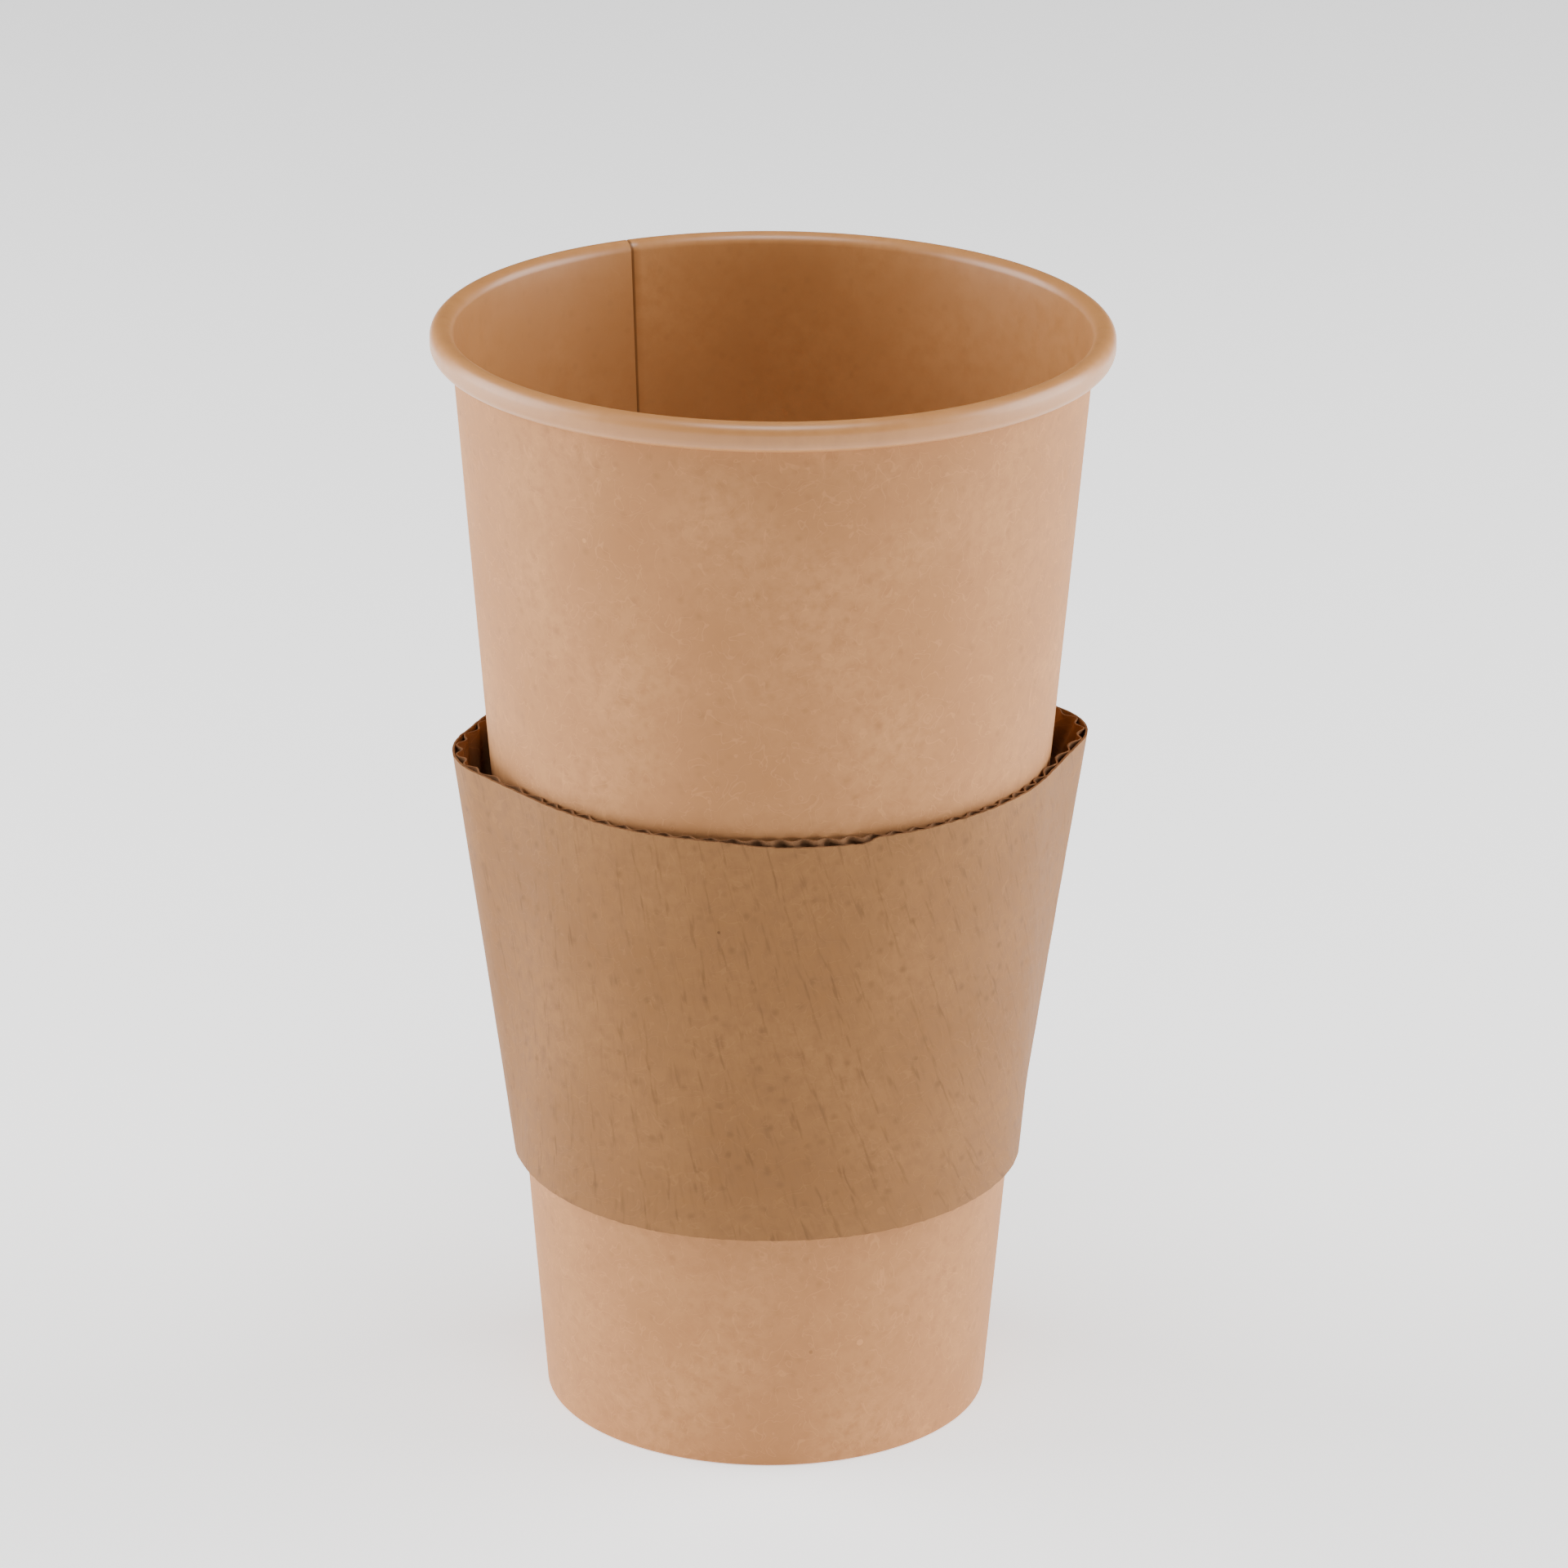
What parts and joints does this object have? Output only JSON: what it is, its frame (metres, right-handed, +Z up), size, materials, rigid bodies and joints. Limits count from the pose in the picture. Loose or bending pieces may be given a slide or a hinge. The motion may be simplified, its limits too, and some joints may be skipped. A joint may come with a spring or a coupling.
{
  "type": "paper coffee cup",
  "caption": "Tall kraft paper coffee cup with a rolled rim, a lapped side seam and a raised base, in a creased corrugated board sleeve.",
  "frame": {"origin": "centre of the foot, on the surface the cup stands on", "axes": "+Z up along the cup's axis, towards the mouth; +X towards the sleeve's right crease, less nine degrees"},
  "size_m": [0.09, 0.09, 0.151],
  "materials": {
    "cup_board": "unbleached kraft paperboard, satin, coated inside",
    "base_board": "unbleached kraft paperboard, satin, coated inside",
    "sleeve_liner_board": "recycled kraft liner, matt, flecked",
    "sleeve_flute_board": "recycled kraft fluting, matt"
  },
  "bodies": {
    "root": {"side_wall": "cup_board", "cup_base": "base_board", "sleeve_liner": "sleeve_liner_board", "sleeve_fluting": "sleeve_flute_board"}
  },
  "joints": []
}
